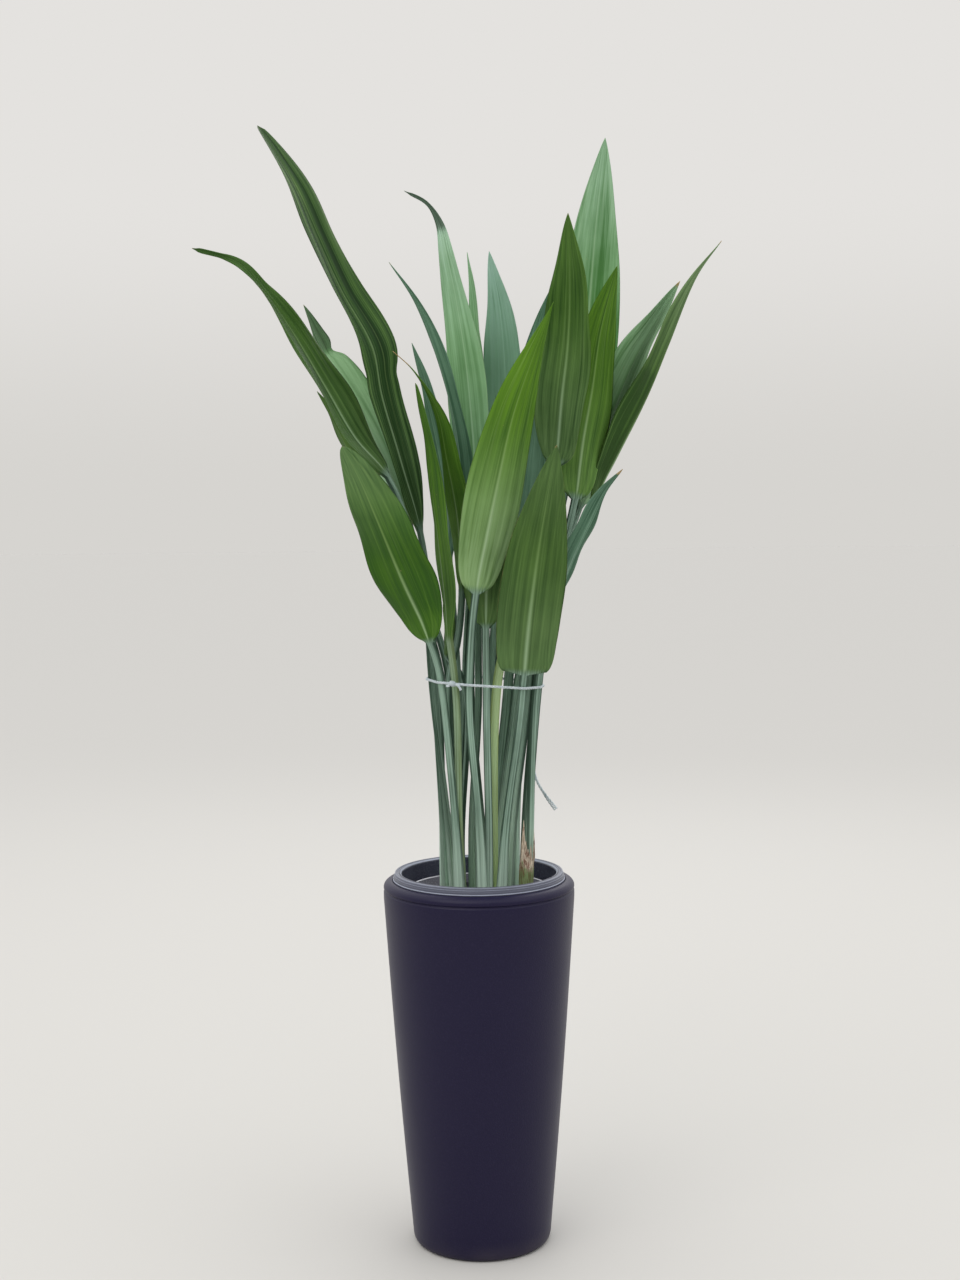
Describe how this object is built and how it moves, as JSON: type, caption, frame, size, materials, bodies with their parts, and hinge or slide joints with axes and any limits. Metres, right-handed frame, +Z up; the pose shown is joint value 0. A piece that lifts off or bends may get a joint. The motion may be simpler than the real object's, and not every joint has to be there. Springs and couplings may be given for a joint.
{
  "type": "potted cast iron plant",
  "caption": "Cast iron plant with long upright leaves tied with string, in its grower's pot inside a tall tapered round planter with a lift-out liner.",
  "frame": {"origin": "middle of the planter's flat base", "axes": "+Z up along the planter's axis, -Y to the front, +X to the right seen from the front"},
  "size_m": [0.6674, 0.305, 1.4581],
  "materials": {
    "planter": "satin",
    "liner": "satin",
    "nursery_pot": "satin",
    "soil": "loose, matt",
    "leaf": "glossy leaf",
    "string": "satin twine",
    "dried_sheath": "dry, papery"
  },
  "bodies": {
    "root": {"planter_shell": "planter", "planter_liner": "liner", "nursery_pot": "nursery_pot", "soil": "soil", "leaf_01": "leaf", "leaf_02": "leaf", "leaf_03": "leaf", "leaf_04": "leaf", "leaf_05": "leaf", "leaf_06": "leaf", "leaf_07": "leaf", "leaf_08": "leaf", "leaf_09": "leaf", "leaf_10": "leaf", "leaf_11": "leaf", "leaf_12": "leaf", "leaf_13": "leaf", "leaf_14": "leaf", "leaf_15": "leaf", "leaf_16": "leaf", "leaf_17": "leaf", "leaf_18": "leaf", "leaf_19": "leaf", "leaf_20": "leaf", "leaf_21": "leaf", "leaf_22": "leaf", "leaf_23": "leaf", "leaf_24": "leaf", "leaf_25": "leaf", "tie_band": "string", "tie_tail": "string", "dried_sheath": "dried_sheath"}
  },
  "joints": []
}
